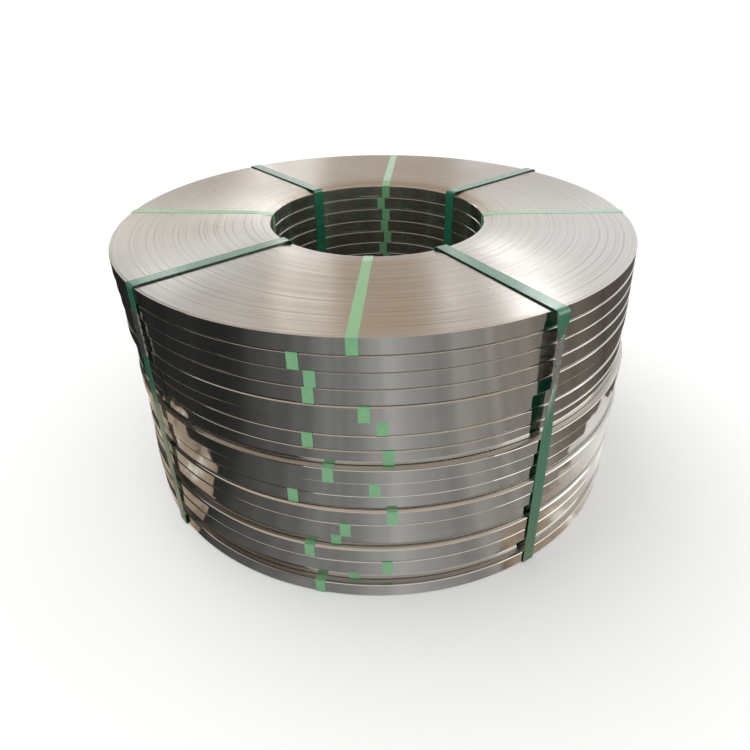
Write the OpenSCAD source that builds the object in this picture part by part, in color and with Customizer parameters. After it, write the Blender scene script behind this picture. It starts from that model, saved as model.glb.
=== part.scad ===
// Strapped stack of slit steel strip coils, standing eye to the sky on a level floor.
// The floor is z = 0, the axis of the eye is Z, the front of the stack faces -Y.
// Angles are measured from the front, positive towards +X.

/* [Coils] */
// Diameter of the eye, the size of the mandrel the strip is wound on
eye_d = 300; // [250:1:320]
// Nominal outside diameter of a coil
coil_d = 704; // [660:1:800]
// Width of the slit strip, the height of one coil
strip_w = 19; // [16:0.5:30]
// How far the coils stand out over each other, 1 as built
slip = 1; // [0:0.1:1.5]
// Width of the band of innermost turns that have sunk
sunk_band_w = 22; // [15:1:40]
// How much further the innermost turns sink in each coil than in the coil below
sink_step = 0.16; // [0:0.01:0.2]

/* [Tape] */
// Width of the tape loops
tape_w = 12; // [8:0.5:16]
// Thickness of the tape
tape_t = 0.15; // [0.1:0.01:0.25]
// Space between the tape and the coil it is stuck to
tape_clear = 0.05; // [0.02:0.01:0.1]
// Space between the tape of one coil and the tape of the next
tape_space = 0.3; // [0.25:0.05:0.6]

/* [Straps] */
// Width of the straps
strap_w = 16; // [12:0.5:19]
// Thickness of the straps
strap_t = 0.6; // [0.5:0.05:0.65]
// Space between the straps and the coils they press on
strap_clear = 0.05; // [0.02:0.01:0.1]
// How far the straps stand off the top of the stack
strap_lift = 1.5; // [1:0.1:3]
// Inside radius of the strap's bend at the outer rim
rim_bend_r = 5; // [2:0.5:5.5]
// Inside radius of the strap's bend into the eye
eye_bend_r = 4; // [1:0.5:4.5]
// Place of the front left strap
front_left_at = -49; // [-55:1:-40]
// Place of the front right strap
front_right_at = 31.5; // [28:0.5:45]
// Place of the back right strap
back_right_at = 131; // [120:1:140]
// Place of the back left strap
back_left_at = -141; // [-150:1:-130]

/* [Seals] */
// Length of one crimped seal
seal_l = 28; // [24:1:34]
// Thickness of the seal's sheet metal
seal_t = 0.6; // [0.4:0.05:0.8]
// Space between the seal and the two layers of strap in it
seal_clear = 0.12; // [0.1:0.01:0.2]
// Depth of the crimp grooves across the seal's outer face
crimp_depth = 0.3; // [0.1:0.05:0.35]
// Height of a crimp groove
crimp_h = 4; // [2:0.5:6]
// Distance of the upper seal below the top of the stack
seal_drop = 30; // [25:1:40]
// Space between the two seals of a strap
seal_space = 1.2; // [1:0.1:4]
// Length of strap tail that shows beyond the seals
tail_l = 9; // [5:1:20]

/* [Hidden] */
$fn = 96;
eps = 0.01;
eye_r = eye_d / 2;
coil_r = coil_d / 2;

// How far each coil's outside lies off the axis of the eye, top to bottom.
// The coils were wound side by side on one mandrel, so their eyes line up.
slip_x = [-4.25, -3.25, -2.25, -1.25, -1.25, -0.25, 0.75, 0.75, 2.75,
          3.25, 2.75, 3.75, 2.75, 4.25, 1.75, 1.25, 3.25, 2.25];
slip_y = [0, 0, 1, 1, 0, 3, 3, 4, -3, -1.5, 0, -3.5, -3, 2, -3, -3, 4, -3];
// Difference of each coil's outside radius from the nominal one, top to bottom
extra_r = [0, 0, 0, 0, 0, -1, -1, 0, 0.5, 0, 0, 0.5, 0.5, 0, 1, 1, 0, 1];
// Turn of each coil's tapes from their nominal places, top to bottom
front_turn = [-3.5, -13, -10.5, -11, -2, 1, -12, 2, -8.5, -0.5, -15.5, 2.5, -6, -8, -13, 1.5, -5, -11.5];
right_turn = [0, 2, -1, 3, 1, -2, 2, 0, -3, 1, 2, -1, 0, 3, -2, 1, -1, 2];
back_turn = [-5, -2, -5, -4, -6, -3, -5, -7, -4, -5, -3, -6, -4, -5, -2, -5, -6, -4];
left_turn = [-4, -3, -5, -2, -4, -6, -3, -4, -2, -5, -4, -3, -6, -4, -3, -5, -2, -4];

coil_count = len(slip_x);
last = coil_count - 1;
coil_space = 2 * (tape_t + tape_clear) + tape_space;
pitch = strip_w + coil_space;
base_z = strap_t + strap_clear;
stack_top = base_z + last * pitch + strip_w;

function coil_radius(k) = coil_r + slip * extra_r[k];
function coil_slip(k) = slip * [slip_x[k], slip_y[k]];
function coil_z(k) = base_z + (last - k) * pitch;
function coil_sink(k) = sink_step * (last - k);

// Outside of a coil seen from the axis of the eye in one direction
function coil_reach(k, angle) = coil_radius(k) + coil_slip(k) * [sin(angle), -cos(angle)];

// Seals, and the strap's tail that lies on its outer run from just above the seals to below them
seals_h = 2 * seal_l + seal_space;
seals_top = stack_top - seal_drop;
seals_low = seals_top - seals_h;
tail_top = seals_top + tail_l / 3;
tail_low = seals_low - tail_l;
function under_seals(k) = coil_z(k) < seals_top && coil_z(k) + strip_w > seals_low;

// The straps run clear of every coil, and so do the seals that stand behind them
edge_turn = asin(strap_w / 2 / coil_r);
strap_sag = strap_w * strap_w / 8 / coil_r;
seal_room = strap_sag + seal_clear + seal_t + strap_clear;
function strap_reach(k, angle) = max([for (side = [-1, 0, 1]) coil_reach(k, angle + side * edge_turn)]);
function run_out(angle) =
    max([for (k = [0 : last]) strap_reach(k, angle) + (under_seals(k) ? seal_room : strap_clear)]);
run_in = eye_r - strap_clear;
loop_top = stack_top + strap_lift;

// Largest bend that still clears a sharp corner which lies a and b behind the two runs
function bend_limit(a, b) = a + b + sqrt(2 * a * b);
function rim_bend(angle) = min(rim_bend_r, bend_limit(run_out(angle) - strap_reach(0, angle), strap_lift));
eye_bend = min(eye_bend_r, bend_limit(strap_clear, strap_lift + coil_sink(0)));
low_bend = bend_limit(strap_clear, strap_clear);

function two_digits(n) = n < 10 ? str("0", n) : str(n);
function coil_name(k) = str("coil_", two_digits(k + 1));

// Body of a coil, its base at z = 0. Its innermost turns have sunk, so that the edge of the eye
// lies lower than the rim. The margin grows the body evenly, for the tape around it.
module coil_body(k, margin) {
    r_in = eye_r - margin;
    r_band = eye_r + sunk_band_w;
    low = -margin;
    high = strip_w + margin;
    sink = coil_sink(k);
    difference() {
        union() {
            translate([coil_slip(k).x, coil_slip(k).y, low])
                cylinder(r = coil_radius(k) + margin, h = high - low);
            if (sink > 0)
                rotate_extrude()
                    polygon([[r_in, low - sink], [r_band, low], [r_band, low + 1], [r_in, low + 1]]);
        }
        if (sink > 0)
            rotate_extrude()
                polygon([[r_in - 1, high - sink], [r_in, high - sink], [r_band, high],
                         [r_band, high + 1], [r_in - 1, high + 1]]);
        translate([0, 0, low - sink - 1])
            cylinder(r = r_in, h = high - low + sink + 2);
    }
}

module coil(k) {
    color("#b9b4aa")
        translate([0, 0, coil_z(k)])
            coil_body(k, 0);
}

// Slab of a given width that runs from the axis out through one side of the stack
module side_slab(angle, width) {
    reach_out = 2 * coil_d;
    rotate([0, 0, angle])
        translate([-width / 2, -reach_out, -reach_out])
            cube([width, reach_out, 2 * reach_out]);
}

module tape_loop(k, angle) {
    translate([0, 0, coil_z(k)])
        intersection() {
            difference() {
                coil_body(k, tape_clear + tape_t);
                coil_body(k, tape_clear);
            }
            side_slab(angle, tape_w);
        }
}

module tapes(nominal, turns) {
    color("#9fcf8e")
        for (k = [0 : last])
            tape_loop(k, nominal + turns[k]);
}

// Rectangle from lo to hi with its own radius at each corner:
// low inside, low outside, high outside, high inside
module rounded(lo, hi, radii) {
    corners = [[lo.x, lo.y], [hi.x, lo.y], [hi.x, hi.y], [lo.x, hi.y]];
    inward = [[1, 1], [-1, 1], [-1, -1], [1, -1]];
    difference() {
        translate(lo)
            square(hi - lo);
        for (i = [0 : 3])
            translate(corners[i] + inward[i] * (radii[i] - eps) / 2)
                square(radii[i] + eps, center = true);
    }
    for (i = [0 : 3])
        translate(corners[i] + inward[i] * radii[i])
            circle(radii[i]);
}

// Section of a strap: a closed loop around the stack's section, doubled by its tail
module strap_section(angle) {
    radii = [low_bend, low_bend, rim_bend(angle), eye_bend];
    thick = [strap_t, strap_t];
    lo = [run_in, strap_t];
    hi = [run_out(angle), loop_top];
    difference() {
        rounded(lo - thick, hi + thick, [for (r = radii) r + strap_t]);
        rounded(lo, hi, radii);
    }
    translate([hi.x + strap_t / 2, tail_low])
        square([1.5 * strap_t, tail_top - tail_low]);
}

module strap(angle) {
    color("#1f7d5e")
        intersection() {
            rotate_extrude()
                strap_section(angle);
            side_slab(angle, strap_w);
        }
}

// One folded sleeve around both layers of a strap, crimped in two places.
// It stands in front of the axis, with the strap's inner face at the given radius.
module seal(strap_r, low_z) {
    hole_w = strap_w + 2 * seal_clear;
    hole_lo = strap_r - strap_sag - seal_clear;
    hole_hi = strap_r + 2 * strap_t + seal_clear;
    outer_w = hole_w + 2 * seal_t;
    outer_lo = hole_lo - seal_t;
    outer_hi = hole_hi + seal_t;
    difference() {
        translate([-outer_w / 2, -outer_hi, low_z])
            cube([outer_w, outer_hi - outer_lo, seal_l]);
        translate([-hole_w / 2, -hole_hi, low_z - 1])
            cube([hole_w, hole_hi - hole_lo, seal_l + 2]);
        for (share = [1, 2])
            translate([-outer_w, -outer_hi - 1, low_z + share * seal_l / 3 - crimp_h / 2])
                cube([2 * outer_w, 1 + crimp_depth, crimp_h]);
    }
}

module seals(angle) {
    color("#9a9c98")
        rotate([0, 0, angle])
            for (i = [0, 1])
                seal(run_out(angle), seals_top - seal_l - i * (seal_l + seal_space));
}

coil_nodes = [for (k = [0 : last]) coil_name(k)];
tape_nodes = ["front_tapes", "right_tapes", "back_tapes", "left_tapes"];
strap_nodes = ["strap_front_left", "strap_front_right", "strap_back_right", "strap_back_left"];
seal_nodes = ["seals_front_left", "seals_front_right", "seals_back_right", "seals_back_left"];

for (k = [0 : last])
    coil(k);
tapes(0, front_turn);  // front_tapes
tapes(90, right_turn);  // right_tapes
tapes(180, back_turn);  // back_tapes
tapes(-90, left_turn);  // left_tapes
strap(front_left_at);  // strap_front_left
strap(front_right_at);  // strap_front_right
strap(back_right_at);  // strap_back_right
strap(back_left_at);  // strap_back_left
seals(front_left_at);  // seals_front_left
seals(front_right_at);  // seals_front_right
seals(back_right_at);  // seals_back_right
seals(back_left_at);  // seals_back_left
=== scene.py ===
"""Dresses the strapped stack of slit steel coils: wound coils, tape, straps, crimped seals and the studio."""

import math
import random

import bmesh
import bpy
from mathutils import Matrix, Vector


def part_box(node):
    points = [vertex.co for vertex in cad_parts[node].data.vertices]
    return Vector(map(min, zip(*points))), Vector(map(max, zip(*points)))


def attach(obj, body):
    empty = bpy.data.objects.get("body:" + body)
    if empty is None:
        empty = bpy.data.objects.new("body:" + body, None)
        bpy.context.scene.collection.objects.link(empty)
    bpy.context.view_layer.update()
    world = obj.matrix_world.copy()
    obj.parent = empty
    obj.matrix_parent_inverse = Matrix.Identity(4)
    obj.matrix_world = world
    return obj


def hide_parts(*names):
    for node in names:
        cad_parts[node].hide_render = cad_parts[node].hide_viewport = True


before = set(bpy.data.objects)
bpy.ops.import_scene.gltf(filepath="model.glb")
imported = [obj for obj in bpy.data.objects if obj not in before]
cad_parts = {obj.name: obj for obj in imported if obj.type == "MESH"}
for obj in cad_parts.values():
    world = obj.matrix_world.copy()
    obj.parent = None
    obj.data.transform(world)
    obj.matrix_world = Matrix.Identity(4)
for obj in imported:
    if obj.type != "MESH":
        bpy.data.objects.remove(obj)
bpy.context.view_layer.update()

bl_info = {
    "name": "Strapped Slit Coils",
    "version": (1, 0, 0),
    "blender": (4, 5, 0),
    "location": "View3D > Sidebar > Coils",
    "description": "Dresses a strapped stack of slit steel strip coils",
    "category": "Object",
}

# the stack, as the frame has it, with lengths in metres
MM = 0.001
COIL_NODES = sorted(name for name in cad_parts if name.startswith("coil_"))
TAPE_NODES = ("front_tapes", "right_tapes", "back_tapes", "left_tapes")
STACK_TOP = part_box(COIL_NODES[0])[1].z
COIL_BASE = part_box(COIL_NODES[-1])[0].z
STRIP_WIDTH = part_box(COIL_NODES[-1])[1].z - COIL_BASE
PITCH = (STACK_TOP - COIL_BASE - STRIP_WIDTH) / (len(COIL_NODES) - 1)
STRAP_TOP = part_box("strap_front_left")[1].z
# each strap's place round the stack, in degrees from the front towards the right
STRAP_PLACES = {"front_left": -49.0, "front_right": 31.5, "back_right": 131.0, "back_left": -141.0}

# a coil's wall: how far its outermost turns lean in at most, and how hollow it is halfway up
WALL_LEAN = 0.45 * MM
WALL_HOLLOW = 0.02 * MM
# a coil's end: groups of turns that have slipped, with their widths, greatest depth and slope
TOP_GROUPS = (5 * MM, 26 * MM)
LOWER_GROUPS = (40 * MM, 60 * MM)
GROUP_DEPTH, GROUP_SLOPE = 0.05 * MM, 1.2 * MM
# how far the groups stay from the sunk band and from the wall
GROUPS_FROM, GROUPS_TO = 7 * MM, 6 * MM
# close to the wall, single turns have slipped
RIM_WIDTH = 5.9 * MM
RIM_TURNS = (0.7 * MM, 1.6 * MM)
RIM_DEPTH, RIM_SLOPE = 0.22 * MM, 0.06 * MM
# the innermost turn lies a little below the sunk band
INNER_DROP = 0.05 * MM
# the coil is pushed sideways from this far outside the sunk band
SLIP_FROM = 3 * MM
# a face whose normal is this close to upright is made of slit edges
END_FACE = 0.96
WELD = 0.005 * MM
COIL_SEED = 18

# steps along a strap under the stack, up the outside, over the top and down the eye
BASE_STEP, RUN_STEP, TOP_STEP, EYE_STEP = 40 * MM, 5 * MM, 12 * MM, 20 * MM
BEND_STEPS = 6
RIBBON_STRIPS = 4
# how far the doubled tail shows below and above the seals
TAIL_BELOW, TAIL_ABOVE = 9 * MM, 3 * MM
# heights on the front right strap, and its turn there in degrees
TWIST_MARKS = ((0.200, 0.0), (0.262, 25.0), (0.328, 25.0), (0.345, 0.0))
TWIST_TOP = 0.34
# what lies this close behind the outer run is turned with it
RUN_DEPTH = 5 * MM

# room that a seal leaves inside the solid for its crumpling, at the sides and at the ends
SEAL_ROOM, SEAL_END_ROOM = 0.5 * MM, 0.4 * MM
SEAL_CUTS = 8
# where the jaws pressed, as shares of the length from the middle, how widely and how far
JAWS_AT = (-1 / 6, 1 / 6)
JAW_HALF = 2.5 * MM
JAW_SQUEEZE = (0.93, 0.72, 1)
CRUMPLE = 0.34 * MM

# edges sharper than these stay sharp
COIL_CREASE, STRAP_CREASE, SEAL_CREASE = math.radians(25), math.radians(35), math.radians(30)

# cards round the stack: name, direction, distance, width, height, linear colour and strength
WHITE = (1, 1, 1, 1)
CARDS = (
    ("roof card", (-0.03, 0.86, 0.52), 2.7, 1.3, 1.1, (0.50, 0.315, 0.17, 1), 1.0),
    ("window left", (-0.137, 0.904, 0.41), 2.5, 0.16, 0.32, WHITE, 4.0),
    ("window rear", (-0.20, 0.889, 0.40), 2.5, 0.12, 0.30, WHITE, 5.5),
    ("window side", (-0.443, 0.796, 0.41), 2.5, 0.2, 0.3, WHITE, 2.8),
    ("window right", (0.349, 0.778, 0.523), 2.5, 0.30, 0.36, WHITE, 7.0),
    ("tube card", (0.15, 0.86, 0.47), 2.5, 0.16, 0.6, (0.94, 0.96, 1, 1), 2.2),
    ("grey card", (-0.45, 0.85, 0.28), 2.5, 0.7, 0.4, (0.66, 0.61, 0.52, 1), 1.0),
    ("left card", (-0.93, -0.30, 0.25), 2.5, 4.4, 2.2, (0.06, 0.055, 0.05, 1), 1.0),
    ("left rear card", (-0.80, 0.42, 0.42), 2.5, 1.6, 1.8, (0.10, 0.09, 0.08, 1), 1.0),
    ("right card", (0.93, -0.30, 0.30), 2.5, 2.2, 1.3, WHITE, 2.2),
)
CARDS_ROUND = Vector((0, 0, 0.35))
CEILING_HEIGHT, CEILING_SIZE, CEILING_COLOUR = 2.2, 4.4, (0.66, 0.57, 0.48, 1)
GROUND_HEIGHT, GROUND_SIZE = 0.3 * MM, 8
FLOOR_SIZE = 60
# the world's strength as light, and where it is seen or mirrored
WORLD_LIGHT, WORLD_SEEN = 0.9, 1.0
SUN_PLACE = (-1.5, 1.0, 3.0)
SUN_STRENGTH, SUN_ANGLE = 0.9, math.radians(50)

# the camera: rise and roll in radians, distance, and its aim to the side and below the top
CAMERA_RISE, CAMERA_ROLL, CAMERA_AWAY = 0.5109, -0.0108, 0.9567
AIM_SIDE, AIM_BELOW = 0.0095, 0.1893
# width, focal length and optical centre of the picture in pixels
PICTURE, FOCAL, OPTICAL_CENTRE = 750, 608.3, (385, 330)
SENSOR = 36
CLIP_NEAR, CLIP_FAR = 0.01, 200


def linear(code):
    """Turns an sRGB hex colour into the linear colour that nodes take."""
    parts = [int(code[i:i + 2], 16) / 255 for i in (1, 3, 5)]
    return [p / 12.92 if p <= 0.04045 else ((p + 0.055) / 1.055) ** 2.4 for p in parts]


def colour_prop(label, description, code):
    """A colour that a user can change, from its sRGB hex value."""
    return bpy.props.FloatVectorProperty(
        name=label, description=description, subtype="COLOR", size=3, min=0, max=1, default=linear(code))


def length_prop(label, description, value):
    """A length that a user can change."""
    return bpy.props.FloatProperty(
        name=label, description=description, unit="LENGTH", subtype="DISTANCE", precision=5, default=value)


class CoilSizes(bpy.types.PropertyGroup):
    """Sizes of the coils and of what holds them together."""

    eye_radius: length_prop("Eye radius", "Radius of the hole through the coils", 150 * MM)
    sunk_band: length_prop("Sunk band", "Width of the innermost turns that have sunk", 22 * MM)
    corner: length_prop("Corner", "Rounding of the strip's edges at the outer and inner turn", 0.5 * MM)
    strap_width: length_prop("Strap width", "Width of the straps", 16 * MM)
    strap_thickness: length_prop("Strap thickness", "Thickness of the straps", 0.6 * MM)
    rim_bend: length_prop("Rim bend", "Inside radius of the strap's bend at the rim", 5 * MM)
    eye_bend: length_prop("Eye bend", "Inside radius of the strap's bend into the eye", 4 * MM)
    seal_length: length_prop("Seal length", "Length of one crimped seal", 28 * MM)
    segments: bpy.props.IntProperty(
        name="Segments", description="Steps around a coil", default=288, min=48)


class CoilColours(bpy.types.PropertyGroup):
    """Colours of the materials."""

    strip: colour_prop("Strip", "Cold-rolled face of the strip", "#cdcbc6")
    edge: colour_prop("Slit edges", "Slit edges of the turns on the coils' ends", "#c8c5c0")
    tape: colour_prop("Tape", "Adhesive film tape", "#74ad7c")
    strap: colour_prop("Strap", "Polyester strap", "#15684b")
    scuff: colour_prop("Scuffs", "Pale scuffs on the straps", "#9cc3b0")
    seal: colour_prop("Seal", "Zinc-plated seal", "#c6c7c4")
    floor: colour_prop("Floor", "Studio floor", "#fbfbfa")


def sizes():
    """The sizes as the user has set them."""
    return bpy.context.scene.coil_sizes


def colours():
    """The colours as the user has set them."""
    return bpy.context.scene.coil_colours


def rgba(colour, share=1.0):
    """A colour, made darker or lighter by a share, as nodes take it."""
    return [c * share for c in colour] + [1.0]


def grey(level):
    """A linear grey, as nodes take it."""
    return (level, level, level, 1)


def every(length):
    """Scale of a pattern that repeats about once in a length in millimetres."""
    return 1 / (length * MM)


def put(tree, kind, links=None, stops=None, **settings):
    """Adds one node, with its settings, its values or links by socket, and the stops of a colour ramp."""
    node = tree.nodes.new(kind)
    for key, value in settings.items():
        setattr(node, key, value)
    for socket, value in (links or {}).items():
        if isinstance(value, bpy.types.NodeSocket):
            tree.links.new(value, node.inputs[socket])
        else:
            node.inputs[socket].default_value = value
    if stops:
        ramp = node.color_ramp.elements
        while len(ramp) < len(stops):
            ramp.new(0.5)
        for element, (place, colour) in zip(ramp, stops):
            element.position = place
            element.color = colour
    return node


def new_material(name):
    """A material without nodes, and its tree."""
    material = bpy.data.materials.new(name)
    material.use_nodes = True
    tree = material.node_tree
    tree.nodes.clear()
    return material, tree


def finish_material(tree, shader):
    """Joins a shader to the material's output."""
    put(tree, "ShaderNodeOutputMaterial", {"Surface": shader.outputs[0]})


def rolled_strip_material():
    """Bright cold-rolled strip: nearly a mirror, drawn out along rolling lines that run round the coil."""
    material, tree = new_material("cold-rolled strip face")
    place = put(tree, "ShaderNodeTexCoord").outputs["Object"]
    # patterns are moved by the number of the coil, so that no two coils are alike
    split = put(tree, "ShaderNodeSeparateXYZ", {0: place})
    first_level = COIL_BASE - (PITCH - STRIP_WIDTH) / 2
    level = put(tree, "ShaderNodeMath", {0: split.outputs["Z"], 1: first_level}, operation="SUBTRACT")
    share = put(tree, "ShaderNodeMath", {0: level.outputs[0], 1: PITCH}, operation="DIVIDE")
    coil = put(tree, "ShaderNodeMath", {0: share.outputs[0]}, operation="FLOOR").outputs[0]
    shift = put(tree, "ShaderNodeCombineXYZ", {"X": coil, "Y": coil, "Z": coil})
    apart = put(tree, "ShaderNodeVectorMath", {0: place, 1: shift.outputs[0]}, operation="ADD").outputs[0]
    # slack waves about 125 mm long
    waves = put(tree, "ShaderNodeTexNoise", {
        "Vector": apart, "Scale": every(125), "Detail": 1.0, "Roughness": 0.4})
    slack = put(tree, "ShaderNodeBump", {
        "Height": waves.outputs["Fac"], "Strength": 1.0, "Distance": 2.4 * MM})
    # rolling lines are finer than a tenth of a millimetre, drawn 1 mm apart so that they show
    along = put(tree, "ShaderNodeMapping", {"Vector": place, "Scale": (every(333), every(333), every(1))})
    lines = put(tree, "ShaderNodeTexNoise", {"Vector": along.outputs[0], "Scale": 1.0, "Detail": 3.0})
    fine = put(tree, "ShaderNodeBump", {
        "Height": lines.outputs["Fac"], "Strength": 0.10, "Distance": 0.05 * MM, "Normal": slack.outputs[0]})
    # oil film and handling marks, patches of about 60 mm
    film = put(tree, "ShaderNodeTexNoise", {
        "Vector": apart, "Scale": every(62.5), "Detail": 4.0, "Roughness": 0.6}).outputs["Fac"]
    tone = put(tree, "ShaderNodeMix", {
        "Factor": film, "A": rgba(colours().strip, 0.86), "B": rgba(colours().strip, 1.06)},
        data_type="RGBA")
    tint = put(tree, "ShaderNodeMix", {
        "Factor": 0.10, "A": tone.outputs["Result"], "B": lines.outputs["Color"]},
        data_type="RGBA", blend_type="OVERLAY")
    rough = put(tree, "ShaderNodeMapRange", {
        "Value": film, "From Min": 0.3, "From Max": 0.7, "To Min": 0.03, "To Max": 0.07})
    # the eye is dulled by oil and by the mandrel
    flat = put(tree, "ShaderNodeMapping", {"Vector": place, "Scale": (1.0, 1.0, 0.0)})
    radius = put(tree, "ShaderNodeVectorMath", {0: flat.outputs[0]}, operation="LENGTH")
    dull = put(tree, "ShaderNodeMapRange", {
        "Value": radius.outputs["Value"], "From Min": sizes().eye_radius + 8 * MM,
        "From Max": sizes().eye_radius + 25 * MM, "To Min": 0.16, "To Max": 0.0})
    rough_all = put(tree, "ShaderNodeMath", {0: rough.outputs[0], 1: dull.outputs[0]}, operation="ADD")
    around = put(tree, "ShaderNodeTangent", direction_type="RADIAL", axis="Z")
    shader = put(tree, "ShaderNodeBsdfPrincipled", {
        "Base Color": tint.outputs["Result"], "Metallic": 1.0, "Roughness": rough_all.outputs[0],
        "Anisotropic": 0.6, "Anisotropic Rotation": 0.25, "Tangent": around.outputs[0],
        "Normal": fine.outputs[0]})
    finish_material(tree, shader)
    return material


def slit_edge_material():
    """Slit edges of the turns packed side by side: each leans its own way, so they fan the light out."""
    material, tree = new_material("slit strip edges")
    place = put(tree, "ShaderNodeTexCoord").outputs["Object"]
    flat = put(tree, "ShaderNodeMapping", {"Vector": place, "Scale": (1.0, 1.0, 0.0)})
    outward = put(tree, "ShaderNodeVectorMath", {0: flat.outputs[0]}, operation="NORMALIZE")
    radius = put(tree, "ShaderNodeVectorMath", {0: flat.outputs[0]}, operation="LENGTH").outputs["Value"]
    # turns are thinner than shows, so they are drawn about 4 mm apart, in bands of about 11 mm
    turns = put(tree, "ShaderNodeTexNoise", {
        "W": radius, "Scale": every(3.85), "Detail": 0.0}, noise_dimensions="1D")
    bands = put(tree, "ShaderNodeTexNoise", {
        "W": radius, "Scale": every(11.1), "Detail": 2.0, "Roughness": 0.7}, noise_dimensions="1D")
    tone = put(tree, "ShaderNodeMix", {
        "Factor": bands.outputs["Fac"], "A": rgba(colours().edge, 0.95), "B": rgba(colours().edge, 1.04)},
        data_type="RGBA")
    # painted shade: the gaps between turns are darkened in colour; they run right round, about 3 mm apart,
    # and open and close along their length
    gap_rings = put(tree, "ShaderNodeTexNoise", {
        "W": radius, "Scale": every(3.33), "Detail": 0.0}, noise_dimensions="1D")
    gap_shade = put(tree, "ShaderNodeMapRange", {
        "Value": gap_rings.outputs["Fac"], "From Min": 0.30, "From Max": 0.46, "To Min": 0.74, "To Max": 1.0})
    open_at = put(tree, "ShaderNodeTexNoise", {"Vector": place, "Scale": every(111), "Detail": 2.0})
    open_share = put(tree, "ShaderNodeMapRange", {
        "Value": open_at.outputs["Fac"], "From Min": 0.35, "From Max": 0.65, "To Min": 0.3, "To Max": 1.0})
    # painted shade, darkest where the gaps open
    gap_shaded = put(tree, "ShaderNodeMix", {
        "Factor": open_share.outputs[0], "A": tone.outputs["Result"], "B": gap_shade.outputs[0]},
        data_type="RGBA", blend_type="MULTIPLY")
    # dull patches of dried oil, about 80 mm wide
    oil = put(tree, "ShaderNodeTexNoise", {
        "Vector": place, "Scale": every(83.3), "Detail": 3.0, "Roughness": 0.6})
    rough = put(tree, "ShaderNodeMapRange", {
        "Value": oil.outputs["Fac"], "From Min": 0.3, "From Max": 0.7, "To Min": 0.27, "To Max": 0.33})
    # the lean of the edges, outward or inward
    lean = put(tree, "ShaderNodeMapRange", {
        "Value": turns.outputs["Fac"], "From Min": 0.25, "From Max": 0.75, "To Min": -0.04, "To Max": 0.04},
        clamp=False)
    tilt = put(tree, "ShaderNodeVectorMath", {
        0: outward.outputs[0], "Scale": lean.outputs[0]}, operation="SCALE")
    upright = put(tree, "ShaderNodeNewGeometry").outputs["Normal"]
    leaned = put(tree, "ShaderNodeVectorMath", {0: upright, 1: tilt.outputs[0]}, operation="ADD")
    normal = put(tree, "ShaderNodeVectorMath", {0: leaned.outputs[0]}, operation="NORMALIZE")
    around = put(tree, "ShaderNodeTangent", direction_type="RADIAL", axis="Z")
    shader = put(tree, "ShaderNodeBsdfPrincipled", {
        "Base Color": gap_shaded.outputs["Result"], "Metallic": 1.0, "Roughness": rough.outputs[0],
        "Anisotropic": 0.9, "Anisotropic Rotation": 0.25, "Tangent": around.outputs[0],
        "Normal": normal.outputs[0]})
    finish_material(tree, shader)
    return material


def film_tape_material():
    """Light green polypropylene film tape: smooth, pulled tight over the turns with fine creases."""
    material, tree = new_material("green film tape")
    place = put(tree, "ShaderNodeTexCoord").outputs["Object"]
    # mottling about 8 mm wide, and creases about 2 mm apart
    mottle = put(tree, "ShaderNodeTexNoise", {"Vector": place, "Scale": every(8.33), "Detail": 3.0})
    creases = put(tree, "ShaderNodeTexNoise", {
        "Vector": place, "Scale": every(2.38), "Detail": 2.0, "Roughness": 0.6})
    tone = put(tree, "ShaderNodeMix", {
        "Factor": mottle.outputs["Fac"], "A": rgba(colours().tape, 0.82), "B": rgba(colours().tape, 1.12)},
        data_type="RGBA")
    relief = put(tree, "ShaderNodeBump", {
        "Height": creases.outputs["Fac"], "Strength": 0.35, "Distance": 0.3 * MM})
    shader = put(tree, "ShaderNodeBsdfPrincipled", {
        "Base Color": tone.outputs["Result"], "Roughness": 0.34, "IOR": 1.49, "Normal": relief.outputs[0],
        "Coat Weight": 1.0, "Coat Roughness": 0.25})
    finish_material(tree, shader)
    return material


def polyester_strap_material(place_name, angle):
    """Green polyester strap, drawn in one direction: lengthwise streaks, a waxy shine and pale scuffs."""
    material, tree = new_material("green polyester strap " + place_name.replace("_", " "))
    place = put(tree, "ShaderNodeTexCoord").outputs["Object"]
    own = put(tree, "ShaderNodeMapping", {
        "Vector": place, "Rotation": (0.0, 0.0, -math.radians(angle))}).outputs[0]
    # drawing streaks 1 mm apart across the strap, running along it
    drawn = put(tree, "ShaderNodeMapping", {"Vector": own, "Scale": (every(1), every(83.3), every(83.3))})
    streaks = put(tree, "ShaderNodeTexNoise", {
        "Vector": drawn.outputs[0], "Scale": 1.0, "Detail": 3.0, "Roughness": 0.6})
    tone = put(tree, "ShaderNodeMix", {
        "Factor": streaks.outputs["Fac"], "A": rgba(colours().strap, 0.7), "B": rgba(colours().strap, 1.35)},
        data_type="RGBA")
    relief = put(tree, "ShaderNodeBump", {
        "Height": streaks.outputs["Fac"], "Strength": 0.3, "Distance": 0.12 * MM})
    # scuffs about 14 mm apart
    scuffs = put(tree, "ShaderNodeTexNoise", {
        "Vector": own, "Scale": every(14.3), "Detail": 5.0, "Roughness": 0.7})
    pale = put(tree, "ShaderNodeMapRange", {
        "Value": scuffs.outputs["Fac"], "From Min": 0.58, "From Max": 0.78, "To Min": 0.0, "To Max": 0.25})
    worn = put(tree, "ShaderNodeMix", {
        "Factor": pale.outputs[0], "A": tone.outputs["Result"], "B": rgba(colours().scuff)},
        data_type="RGBA")
    rough = put(tree, "ShaderNodeMapRange", {
        "Value": scuffs.outputs["Fac"], "From Min": 0.3, "From Max": 0.7, "To Min": 0.24, "To Max": 0.42})
    shader = put(tree, "ShaderNodeBsdfPrincipled", {
        "Base Color": worn.outputs["Result"], "Roughness": rough.outputs[0], "IOR": 1.57,
        "Normal": relief.outputs[0], "Coat Weight": 0.9, "Coat Roughness": 0.2, "Coat IOR": 1.6})
    finish_material(tree, shader)
    return material


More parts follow.
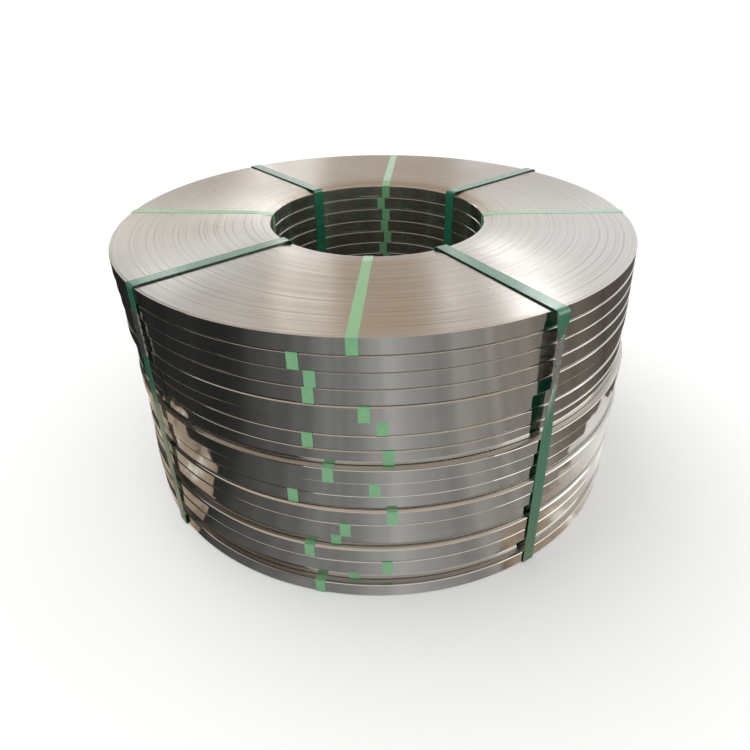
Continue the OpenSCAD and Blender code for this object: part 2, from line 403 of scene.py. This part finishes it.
def zinc_seal_material():
    """Zinc-plated seal steel: dull silver, dented and scratched by the crimping jaws."""
    material, tree = new_material("zinc-plated seal")
    place = put(tree, "ShaderNodeTexCoord").outputs["Object"]
    # bloom of the zinc about 4 mm wide, and dents about 5 mm apart
    bloom = put(tree, "ShaderNodeTexNoise", {
        "Vector": place, "Scale": every(3.85), "Detail": 4.0, "Roughness": 0.65})
    dents = put(tree, "ShaderNodeTexNoise", {"Vector": place, "Scale": every(5.26), "Detail": 1.0})
    tone = put(tree, "ShaderNodeMix", {
        "Factor": bloom.outputs["Fac"], "A": rgba(colours().seal, 0.55), "B": rgba(colours().seal, 1.25)},
        data_type="RGBA")
    rough = put(tree, "ShaderNodeMapRange", {
        "Value": bloom.outputs["Fac"], "From Min": 0.3, "From Max": 0.7, "To Min": 0.26, "To Max": 0.50})
    relief = put(tree, "ShaderNodeBump", {
        "Height": dents.outputs["Fac"], "Strength": 0.8, "Distance": 1.2 * MM})
    shader = put(tree, "ShaderNodeBsdfPrincipled", {
        "Base Color": tone.outputs["Result"], "Metallic": 1.0, "Roughness": rough.outputs[0],
        "Normal": relief.outputs[0]})
    finish_material(tree, shader)
    return material


def floor_material():
    """Seamless matt studio paper."""
    material, tree = new_material("matt studio paper")
    shader = put(tree, "ShaderNodeBsdfPrincipled", {
        "Base Color": rgba(colours().floor), "Roughness": 0.9, "Specular IOR Level": 0.1})
    finish_material(tree, shader)
    return material


def card_material(name, colour, strength=1.0):
    """Plain studio card of one tone."""
    material, tree = new_material(name)
    shader = put(tree, "ShaderNodeEmission", {"Color": colour, "Strength": strength})
    finish_material(tree, shader)
    return material


def ground_card_material():
    """Card on the ground: black on the left, brown on the right, grey before and behind, paler close by, with
    painted shade down in the eye.
    """
    material, tree = new_material("ground card")
    place = put(tree, "ShaderNodeTexCoord").outputs["Object"]
    # turned so that the ramps start behind the stack and run by its left, its front and its right
    turned = put(tree, "ShaderNodeMapping", {"Vector": place, "Rotation": (0.0, 0.0, math.radians(90))})
    angle = put(tree, "ShaderNodeTexGradient", {
        "Vector": turned.outputs[0]}, gradient_type="RADIAL").outputs["Fac"]
    far = put(tree, "ShaderNodeVectorMath", {0: place}, operation="LENGTH").outputs["Value"]
    around = put(tree, "ShaderNodeValToRGB", {"Fac": angle}, stops=[
        (0.0, (0.34, 0.32, 0.30, 1)), (0.09, (0.16, 0.155, 0.15, 1)), (0.16, grey(0.02)),
        (0.36, grey(0.036)), (0.44, grey(0.18)), (0.51, grey(0.44)), (0.60, (0.40, 0.38, 0.36, 1)),
        (0.67, (0.24, 0.21, 0.18, 1)), (0.78, (0.11, 0.095, 0.08, 1)), (0.90, (0.20, 0.19, 0.18, 1)),
        (1.0, (0.34, 0.32, 0.30, 1))])
    # upright streaks in what the wall mirrors, about 15 in a turn
    columns = put(tree, "ShaderNodeTexNoise", {
        "W": angle, "Scale": 15.0, "Detail": 3.0, "Roughness": 0.6}, noise_dimensions="1D")
    share = put(tree, "ShaderNodeMapRange", {
        "Value": columns.outputs["Fac"], "From Min": 0.3, "From Max": 0.7, "To Min": 0.70, "To Max": 1.25})
    striped = put(tree, "ShaderNodeMix", {
        "Factor": 1.0, "A": around.outputs["Color"], "B": share.outputs[0]},
        data_type="RGBA", blend_type="MULTIPLY")
    # how far out the pale part reaches, in metres, with a ragged edge
    reach = put(tree, "ShaderNodeValToRGB", {"Fac": angle}, stops=[
        (0.15, grey(0.46)), (0.236, grey(0.54)), (0.317, grey(0.54)), (0.366, grey(0.45)),
        (0.385, grey(0.30)), (0.54, grey(0.33)), (0.62, grey(0.42)), (0.72, grey(0.48))])
    patchy = put(tree, "ShaderNodeTexNoise", {"Vector": place, "Scale": every(167), "Detail": 2.0})
    ragged = put(tree, "ShaderNodeMath", {
        0: patchy.outputs["Fac"], 1: 0.24, 2: -0.12}, operation="MULTIPLY_ADD")
    edge = put(tree, "ShaderNodeMath", {0: reach.outputs["Color"], 1: ragged.outputs[0]}, operation="ADD")
    beyond = put(tree, "ShaderNodeMath", {0: far, 1: edge.outputs[0]}, operation="SUBTRACT")
    near = put(tree, "ShaderNodeMapRange", {
        "Value": beyond.outputs[0], "From Min": 0.0, "From Max": 0.008, "To Min": 1.0, "To Max": 0.0})
    # pale patches about 70 mm wide
    boards = put(tree, "ShaderNodeTexNoise", {"Vector": place, "Scale": every(71.4), "Detail": 3.0})
    pale = put(tree, "ShaderNodeValToRGB", {"Fac": boards.outputs["Fac"]}, stops=[
        (0.30, (0.20, 0.16, 0.125, 1)), (0.42, (0.42, 0.33, 0.25, 1)), (0.58, (0.52, 0.43, 0.34, 1)),
        (0.70, (0.92, 0.88, 0.80, 1))])
    # sunlit on the right
    sunny = put(tree, "ShaderNodeValToRGB", {"Fac": angle}, stops=[
        (0.62, grey(0)), (0.70, grey(1)), (0.84, grey(0))])
    lit = put(tree, "ShaderNodeMix", {
        "Factor": sunny.outputs["Color"], "A": pale.outputs["Color"], "B": (0.98, 0.96, 0.92, 1)},
        data_type="RGBA")
    tone = put(tree, "ShaderNodeMix", {
        "Factor": near.outputs[0], "A": striped.outputs["Result"], "B": lit.outputs["Result"]},
        data_type="RGBA")
    # far out the card turns to a plain grey
    out = put(tree, "ShaderNodeMapRange", {
        "Value": far, "From Min": 1.15, "From Max": 1.7, "To Min": 0.0, "To Max": 1.0})
    faded = put(tree, "ShaderNodeMix", {
        "Factor": out.outputs[0], "A": tone.outputs["Result"], "B": (0.45, 0.44, 0.43, 1)},
        data_type="RGBA")
    # painted shade: the card is dark down in the eye, where the stack shades the floor
    eye_shade = put(tree, "ShaderNodeMapRange", {
        "Value": far, "From Min": 0.16, "From Max": 0.24, "To Min": 0.06, "To Max": 1.0})
    eye_shaded = put(tree, "ShaderNodeMix", {
        "Factor": 1.0, "A": faded.outputs["Result"], "B": eye_shade.outputs[0]},
        data_type="RGBA", blend_type="MULTIPLY")
    shader = put(tree, "ShaderNodeEmission", {"Color": eye_shaded.outputs["Result"], "Strength": 1.0})
    finish_material(tree, shader)
    return material


def select_none():
    """Leaves edit mode and deselects everything."""
    if bpy.context.mode != "OBJECT":
        bpy.ops.object.mode_set(mode="OBJECT")
    bpy.ops.object.select_all(action="DESELECT")


def select_points(piece, wanted):
    """In edit mode, selects the points of a piece that pass a test."""
    mesh = bmesh.from_edit_mesh(piece.data)
    for vert in mesh.verts:
        vert.select_set(wanted(vert))
    mesh.select_flush_mode()
    bmesh.update_edit_mesh(piece.data)


def draw_line(name, points, closed):
    """A new object in edit mode whose mesh is a chain of points, drawn by extruding one after the other."""
    select_none()
    bpy.ops.mesh.primitive_plane_add(size=MM, location=(0, 0, 0))
    piece = bpy.context.object
    piece.name = piece.data.name = name
    bpy.ops.object.mode_set(mode="EDIT")
    bpy.ops.mesh.select_all(action="SELECT")
    bpy.ops.mesh.merge(type="CENTER")
    bpy.ops.transform.translate(value=points[0])
    for before, after in zip(points, points[1:]):
        step = Vector(after) - Vector(before)
        bpy.ops.mesh.extrude_region_move(TRANSFORM_OT_translate={"value": step})
    if closed:
        select_points(piece, lambda vert: len(vert.link_edges) == 1)
        bpy.ops.mesh.edge_face_add()
    bpy.ops.mesh.select_all(action="SELECT")
    return piece


def spin_round(segments):
    """Spins what is drawn once round the axis of the eye and closes the seam."""
    bpy.ops.mesh.spin(steps=segments, angle=math.tau, center=(0, 0, 0), axis=(0, 0, 1))
    bpy.ops.mesh.select_all(action="SELECT")
    bpy.ops.mesh.remove_doubles(threshold=WELD)
    bpy.ops.mesh.normals_make_consistent(inside=False)
    bpy.ops.object.mode_set(mode="OBJECT")


def slip_outward(piece, radius, slip):
    """Moves everything outside a radius sideways, which leaves the eye on its axis."""
    bpy.ops.object.mode_set(mode="EDIT")
    select_points(piece, lambda vert: vert.co.xy.length > radius)
    bpy.ops.transform.translate(value=slip)
    bpy.ops.object.mode_set(mode="OBJECT")


def join(first, other):
    """Makes one piece of two, under the name of the first."""
    select_none()
    first.select_set(True)
    other.select_set(True)
    bpy.context.view_layer.objects.active = first
    bpy.ops.object.join()


def dress(piece, slot, *nodes):
    """Hands a finished piece to the stack."""
    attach(piece, "root")
    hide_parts(*nodes)


def end_steps(dice, inner, outer, widths, depth, slope):
    """Radii and heights of groups of turns that have slipped a little below the end of the coil."""
    steps = []
    radius = inner
    while radius < outer:
        drop = -dice.uniform(0.0, depth)
        following = min(outer, radius + dice.uniform(*widths))
        steps += [(radius + slope, drop), (following - slope, drop)]
        radius = following
    return steps


def coil_section(dice, radius, low, top, is_top):
    """Radii and heights of a coil's section, from the foot of the eye outwards, up the wall and back in."""
    size = sizes()
    inner, corner = size.eye_radius, size.corner
    band = inner + size.sunk_band
    bottom = top - STRIP_WIDTH
    sink = bottom - low
    lean_low, lean_high = dice.uniform(0.0, WALL_LEAN), dice.uniform(0.0, WALL_LEAN)
    foot, head = radius - lean_low, radius - lean_high
    widths = TOP_GROUPS if is_top else LOWER_GROUPS
    groups = end_steps(dice, band + GROUPS_FROM, radius - GROUPS_TO, widths, GROUP_DEPTH, GROUP_SLOPE)
    # below the top coil the outermost turns have sagged, which opens a line between the coils
    sag, sag_width = (corner, corner) if is_top else (3 * corner, 5 * corner)
    turns = end_steps(dice, radius - RIM_WIDTH, head - sag_width, RIM_TURNS, RIM_DEPTH, RIM_SLOPE)
    under = [
        (inner, low + 1.3 * corner), (inner, low + corner),
        (inner + corner, low + corner / 3), (band, bottom)]
    # roundings are drawn in shares of the corner, and the points next to them keep the wall straight
    wall = [
        (foot - 1.6 * corner, bottom), (foot - 0.5 * corner, bottom + 0.4 * corner),
        (foot, bottom + 1.6 * corner), (foot, bottom + 1.9 * corner),
        ((foot + head) / 2 - WALL_HOLLOW, (bottom + top) / 2),
        (head, top - 1.2 * sag), (head, top - sag)]
    if not is_top:
        wall.append((head - 0.8 * corner, top - 0.7 * sag))
    end = [(r, top + drop) for r, drop in reversed(groups + turns)]
    sunk = top - sink
    eye = [
        (band, top), (inner + 0.6 * size.sunk_band, top - 0.38 * sink),
        (inner + 2 * corner, sunk - INNER_DROP), (inner, sunk - 2 * corner), (inner, sunk - 2.4 * corner)]
    return under + wall + end + eye


class COILS_OT_wind(bpy.types.Operator):
    """Winds the coils: each is spun from its section, with rounded edges and slipped turns on its ends."""

    bl_idname = "coils.wind"
    bl_label = "Wind the coils"

    def execute(self, context):
        size = sizes()
        strip, edges = rolled_strip_material(), slit_edge_material()
        dice = random.Random(COIL_SEED)
        for node in COIL_NODES:
            low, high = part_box(node)
            section = coil_section(dice, (high.x - low.x) / 2, low.z, high.z, node == COIL_NODES[0])
            piece = draw_line(node + "_wound", [(r, 0, z) for r, z in section], closed=True)
            spin_round(size.segments)
            slip = ((low.x + high.x) / 2, (low.y + high.y) / 2, 0)
            slip_outward(piece, size.eye_radius + size.sunk_band + SLIP_FROM, slip)
            piece.data.materials.append(strip)
            piece.data.materials.append(edges)
            for face in piece.data.polygons:
                face.material_index = 1 if abs(face.normal.z) > END_FACE else 0
            bpy.ops.object.shade_smooth_by_angle(angle=COIL_CREASE)
            dress(piece, "strip_steel", node)
        return {"FINISHED"}


class COILS_OT_tape(bpy.types.Operator):
    """Gives the tape loops their film."""

    bl_idname = "coils.tape"
    bl_label = "Tape the coils"

    def execute(self, context):
        film = film_tape_material()
        for node in TAPE_NODES:
            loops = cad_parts[node]
            loops.data.materials.clear()
            loops.data.materials.append(film)
        return {"FINISHED"}


def outward_at(angle):
    """Direction from the axis of the eye to a strap's place."""
    turn = math.radians(angle)
    return Vector((math.sin(turn), -math.cos(turn), 0))


def across_at(angle):
    """Direction across the strap at its place."""
    turn = math.radians(angle)
    return Vector((math.cos(turn), math.sin(turn), 0))


def span_along(node, direction):
    """Least and greatest reach of a CAD node in one direction."""
    reach = [vert.co.dot(direction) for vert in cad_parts[node].data.vertices]
    return min(reach), max(reach)


def arc(centre, radius, start, end):
    """Points of a bend in the plane of a strap, as radius and height, between two angles in degrees."""
    angles = [math.radians(start + (end - start) * i / BEND_STEPS) for i in range(BEND_STEPS + 1)]
    return [(centre[0] + radius * math.cos(t), centre[1] + radius * math.sin(t)) for t in angles]


def run(start, end, step):
    """Points of a straight run, without its last one."""
    count = max(1, round(math.dist(start, end) / step))
    return [tuple(a + (b - a) * i / count for a, b in zip(start, end)) for i in range(count)]


def strap_path(outward, inner, run_out):
    """Radii and heights of a strap's loop: under the stack, up the outside, over the top and down the eye."""
    size = sizes()
    thick = size.strap_thickness
    low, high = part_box(COIL_NODES[0])
    reach = (high.x - low.x) / 2 + ((low + high) / 2).xy.dot(outward.xy)
    # the bend at the rim is no wider than clears the top coil's edge
    behind, lift = run_out - reach, STRAP_TOP - thick - STACK_TOP
    rim = min(size.rim_bend, behind + lift + math.sqrt(2 * behind * lift)) + thick / 2
    eye = size.eye_bend + thick / 2
    left, right, top, base = inner + thick / 2, run_out + thick / 2, STRAP_TOP - thick / 2, thick / 2
    path = run((left, base), (right, base), BASE_STEP)
    path += run((right, base), (right, top - rim), RUN_STEP)
    path += arc((right - rim, top - rim), rim, 0, 90)
    path += run((right - rim, top), (left + eye, top), TOP_STEP)[1:]
    path += arc((left + eye, top - eye), eye, 90, 180)
    path += run((left, top - eye), (left, base), EYE_STEP)[1:]
    return path


def ribbon(name, path, closed, angle):
    """A strap along a path of radii and heights, in edit mode, pulled out to its width."""
    width = sizes().strap_width
    outward, across = outward_at(angle), across_at(angle)
    points = [outward * r - across * width / 2 + Vector((0, 0, z)) for r, z in path]
    piece = draw_line(name, points, closed)
    for _ in range(RIBBON_STRIPS):
        bpy.ops.mesh.extrude_region_move(TRANSFORM_OT_translate={"value": across * width / RIBBON_STRIPS})
    bpy.ops.mesh.select_all(action="SELECT")
    bpy.ops.mesh.normals_make_consistent(inside=False)
    return piece


def twist_at(place, height):
    """Turn of a strap's outer run at a height: only the front right one has been twisted by its seals."""
    if place != "front_right":
        return 0.0
    for (z0, t0), (z1, t1) in zip(TWIST_MARKS, TWIST_MARKS[1:]):
        if z0 <= height < z1:
            return math.radians(t0 + (t1 - t0) * (height - z0) / (z1 - z0))
    return 0.0


def twist(piece, place, outward, run_out):
    """Turns a strap's outer run, level by level, about the upright line along its middle."""
    middle = outward * (run_out + sizes().strap_thickness / 2)
    for level in range(int(TWIST_TOP / RUN_STEP)):
        low, high = level * RUN_STEP, level * RUN_STEP + RUN_STEP
        turn = twist_at(place, low + RUN_STEP / 2)
        if turn:
            select_points(piece, lambda vert: (
                low <= vert.co.z < high and vert.co.dot(outward) > run_out - RUN_DEPTH))
            bpy.ops.transform.rotate(
                value=-turn, orient_axis="Z", orient_type="GLOBAL", center_override=middle)


def thicken(piece):
    """Gives a strap its thickness."""
    bpy.ops.object.mode_set(mode="OBJECT")
    bpy.ops.object.modifier_add(type="SOLIDIFY")
    piece.modifiers[-1].thickness = sizes().strap_thickness
    piece.modifiers[-1].offset = 0
    bpy.ops.object.modifier_apply(modifier=piece.modifiers[-1].name)
    bpy.ops.object.shade_smooth_by_angle(angle=STRAP_CREASE)


class COILS_OT_strap(bpy.types.Operator):
    """Lays the straps: each is a closed loop drawn in its own plane, with a doubled tail behind its seals."""

    bl_idname = "coils.strap"
    bl_label = "Strap the stack"

    def execute(self, context):
        thick = sizes().strap_thickness
        for place, angle in STRAP_PLACES.items():
            node = "strap_" + place
            outward = outward_at(angle)
            inner, outer = span_along(node, outward)
            # the loop lies under the tail
            run_out = outer - 2 * thick
            loop = ribbon(node + "_laid", strap_path(outward, inner, run_out), True, angle)
            twist(loop, place, outward, run_out)
            thicken(loop)
            seal_low, seal_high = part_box("seals_" + place)
            tail_at = outer - thick / 2
            ends = (tail_at, seal_low.z - TAIL_BELOW), (tail_at, seal_high.z + TAIL_ABOVE)
            tail = ribbon(node + "_tail", run(*ends, RUN_STEP), False, angle)
            twist(tail, place, outward, run_out)
            thicken(tail)
            join(loop, tail)
            loop.data.materials.append(polyester_strap_material(place, angle))
            dress(loop, "strap", node)
        return {"FINISHED"}


def crimp_seal(wide, thick, seed):
    """One seal in edit mode, at the origin: a sleeve that the jaws have pressed in at two places."""
    length = sizes().seal_length
    select_none()
    bpy.ops.mesh.primitive_cube_add(size=1, location=(0, 0, 0))
    piece = bpy.context.object
    bpy.ops.object.mode_set(mode="EDIT")
    bpy.ops.transform.resize(value=(wide - SEAL_ROOM, thick - SEAL_ROOM, length - SEAL_END_ROOM))
    bpy.ops.mesh.subdivide(number_cuts=SEAL_CUTS)
    select_points(piece, lambda vert: any(abs(vert.co.z - at * length) < JAW_HALF for at in JAWS_AT))
    bpy.ops.transform.resize(value=JAW_SQUEEZE)
    bpy.ops.mesh.select_all(action="SELECT")
    bpy.ops.transform.vertex_random(offset=CRUMPLE, uniform=0.2, normal=0.0, seed=seed)
    return piece


class COILS_OT_seal(bpy.types.Operator):
    """Crimps the seals: folded sleeves, dented by the jaws."""

    bl_idname = "coils.seal"
    bl_label = "Crimp the seals"

    def execute(self, context):
        length = sizes().seal_length
        zinc = zinc_seal_material()
        for number, (place, angle) in enumerate(STRAP_PLACES.items()):
            node = "seals_" + place
            outward = outward_at(angle)
            inner, outer = span_along(node, outward)
            left, right = span_along(node, across_at(angle))
            low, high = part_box(node)
            pair = []
            for index in (0, 1):
                middle = low.z + index * (high.z - low.z - length) + length / 2
                # each seal is crumpled in its own way
                piece = crimp_seal(right - left, outer - inner, 7 * number + index + 1)
                turn = math.radians(angle) + twist_at(place, middle)
                bpy.ops.transform.rotate(
                    value=-turn, orient_axis="Z", orient_type="GLOBAL", center_override=(0, 0, 0))
                bpy.ops.transform.translate(value=outward * (inner + outer) / 2 + Vector((0, 0, middle)))
                bpy.ops.object.mode_set(mode="OBJECT")
                bpy.ops.object.shade_smooth_by_angle(angle=SEAL_CREASE)
                pair.append(piece)
            join(*pair)
            pair[0].name = pair[0].data.name = node + "_crimped"
            pair[0].data.materials.append(zinc)
            dress(pair[0], "seal_metal", node)
        return {"FINISHED"}


def stage_card(name, material, at, turn, wide, tall):
    """A card that is seen only in glossy surfaces."""
    bpy.ops.mesh.primitive_plane_add(size=1, location=at, rotation=turn)
    card = bpy.context.object
    card.name = name
    card.scale = (wide, tall, 1)
    bpy.ops.object.transform_apply(location=False, rotation=False, scale=True)
    # only glossy rays look for it, so it isn't sampled as a lamp
    material.cycles.emission_sampling = "NONE"
    card.data.materials.append(material)
    card.visible_camera = card.visible_diffuse = card.visible_shadow = card.visible_transmission = False


def hang_cards():
    """Sets out what the steel mirrors: the ground, a warm ceiling and roof, windows and plain sides."""
    level = (0, 0, 0)
    stage_card("ground card", ground_card_material(), (0, 0, GROUND_HEIGHT), level, GROUND_SIZE, GROUND_SIZE)
    ceiling = card_material("ceiling card", CEILING_COLOUR)
    stage_card("ceiling card", ceiling, (0, 0, CEILING_HEIGHT), level, CEILING_SIZE, CEILING_SIZE)
    for name, towards, away, wide, tall, colour, strength in CARDS:
        aim = Vector(towards).normalized()
        turn = (-aim).to_track_quat("Z", "Y").to_euler()
        stage_card(name, card_material(name, colour, strength), CARDS_ROUND + aim * away, turn, wide, tall)


def light_world(scene):
    """A world that is white to the camera and in metal, and a little less as light."""
    world = bpy.data.worlds.new("studio")
    scene.world = world
    world.use_nodes = True
    tree = world.node_tree
    tree.nodes.clear()
    rays = put(tree, "ShaderNodeLightPath").outputs
    shown = put(tree, "ShaderNodeMath", {
        0: rays["Is Camera Ray"], 1: rays["Is Glossy Ray"]}, operation="MAXIMUM")
    clear = put(tree, "ShaderNodeMath", {
        0: shown.outputs[0], 1: rays["Is Transmission Ray"]}, operation="MAXIMUM")
    strength = put(tree, "ShaderNodeMapRange", {
        "Value": clear.outputs[0], "To Min": WORLD_LIGHT, "To Max": WORLD_SEEN})
    back = put(tree, "ShaderNodeBackground", {"Color": WHITE, "Strength": strength.outputs[0]})
    put(tree, "ShaderNodeOutputWorld", {"Surface": back.outputs[0]})


def hang_sun():
    """A soft sun from the rear left, for the shadow on the paper."""
    bpy.ops.object.light_add(type="SUN", location=SUN_PLACE)
    sun = bpy.context.object
    sun.name = "key"
    sun.data.energy, sun.data.angle = SUN_STRENGTH, SUN_ANGLE
    sun.rotation_euler = (-sun.location).to_track_quat("-Z", "Y").to_euler()
    sun.visible_glossy = False


def place_camera(scene):
    """The photograph's camera: at the front, 29 degrees above the horizon, with a wide lens close by."""
    camera = bpy.data.objects.new("camera", bpy.data.cameras.new("camera"))
    scene.collection.objects.link(camera)
    scene.camera = camera
    back = Vector((0, -math.cos(CAMERA_RISE), math.sin(CAMERA_RISE)))
    side = Vector((1, 0, 0))
    up = back.cross(side)
    rolled_side = side * math.cos(CAMERA_ROLL) + up * math.sin(CAMERA_ROLL)
    rolled_up = up * math.cos(CAMERA_ROLL) - side * math.sin(CAMERA_ROLL)
    turn = Matrix((rolled_side, rolled_up, back)).transposed().to_4x4()
    aim = Vector((AIM_SIDE, 0, STACK_TOP - AIM_BELOW))
    camera.matrix_world = Matrix.Translation(aim + back * CAMERA_AWAY) @ turn
    camera.data.sensor_width = SENSOR
    camera.data.lens = SENSOR * FOCAL / PICTURE
    camera.data.shift_x = (PICTURE / 2 - OPTICAL_CENTRE[0]) / PICTURE
    camera.data.shift_y = (OPTICAL_CENTRE[1] - PICTURE / 2) / PICTURE
    camera.data.clip_start, camera.data.clip_end = CLIP_NEAR, CLIP_FAR


class COILS_OT_stage(bpy.types.Operator):
    """Sets up the floor, the cards, the light and the camera."""

    bl_idname = "coils.stage"
    bl_label = "Set up the studio"

    def execute(self, context):
        scene = context.scene
        scene.view_settings.view_transform = "Standard"
        select_none()
        bpy.ops.mesh.primitive_plane_add(size=FLOOR_SIZE, location=(0, 0, 0))
        floor = bpy.context.object
        floor.name = "floor"
        floor.data.materials.append(floor_material())
        hang_cards()
        light_world(scene)
        hang_sun()
        place_camera(scene)
        return {"FINISHED"}


class COILS_PT_panel(bpy.types.Panel):
    """Lists the sizes, the colours and the steps of the stack."""

    bl_idname = "COILS_PT_panel"
    bl_label = "Strapped slit coils"
    bl_space_type = "VIEW_3D"
    bl_region_type = "UI"
    bl_category = "Coils"

    def draw(self, context):
        for group in (context.scene.coil_sizes, context.scene.coil_colours):
            for name in group.bl_rna.properties.keys():
                if name not in ("name", "rna_type"):
                    self.layout.prop(group, name)
        for operator in OPERATORS:
            self.layout.operator(operator.bl_idname)


OPERATORS = (COILS_OT_wind, COILS_OT_tape, COILS_OT_strap, COILS_OT_seal, COILS_OT_stage)
CLASSES = (CoilSizes, CoilColours) + OPERATORS + (COILS_PT_panel,)


def register():
    """Registers the classes and hangs the settings on the scene."""
    for cls in CLASSES:
        bpy.utils.register_class(cls)
    bpy.types.Scene.coil_sizes = bpy.props.PointerProperty(type=CoilSizes)
    bpy.types.Scene.coil_colours = bpy.props.PointerProperty(type=CoilColours)


def unregister():
    """Takes the settings off the scene and the classes away."""
    del bpy.types.Scene.coil_colours
    del bpy.types.Scene.coil_sizes
    for cls in reversed(CLASSES):
        bpy.utils.unregister_class(cls)


def main():
    """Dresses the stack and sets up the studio."""
    register()
    bpy.ops.coils.wind()
    bpy.ops.coils.tape()
    bpy.ops.coils.strap()
    bpy.ops.coils.seal()
    bpy.ops.coils.stage()


if __name__ == "__main__":
    main()
